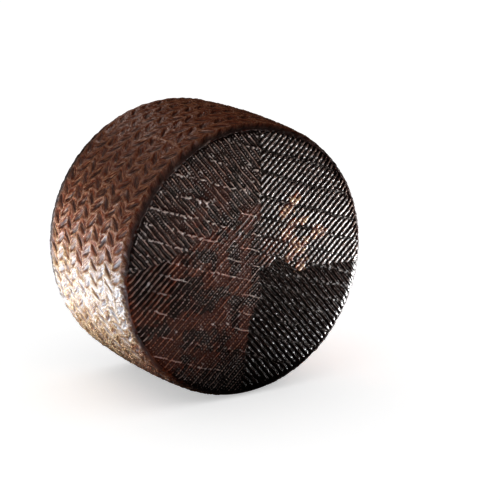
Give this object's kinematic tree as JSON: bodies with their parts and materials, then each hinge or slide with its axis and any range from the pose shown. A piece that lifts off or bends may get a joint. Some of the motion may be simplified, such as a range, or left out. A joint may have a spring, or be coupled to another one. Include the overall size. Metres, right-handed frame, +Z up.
{
  "type": "pecorino cheese wheel",
  "caption": "Whole aged pecorino wheel with a dark oiled rind, standing on its rim; plaited grass imprint round the side and ridged board imprint on both faces.",
  "frame": {"origin": "on the floor, under the middle of the wheel", "axes": "+Z up; +Y along the wheel's axis, from the ridged front face that the picture shows to the back face; +X to the right as seen from the front"},
  "size_m": [0.1902, 0.11, 0.1889],
  "materials": {
    "rind": "dark brown aged cheese rind, oiled and semi-gloss, nearly black in the face's grooves and warm brown on the plaited side"
  },
  "bodies": {
    "root": {"cheese_wheel": "rind"}
  },
  "joints": []
}
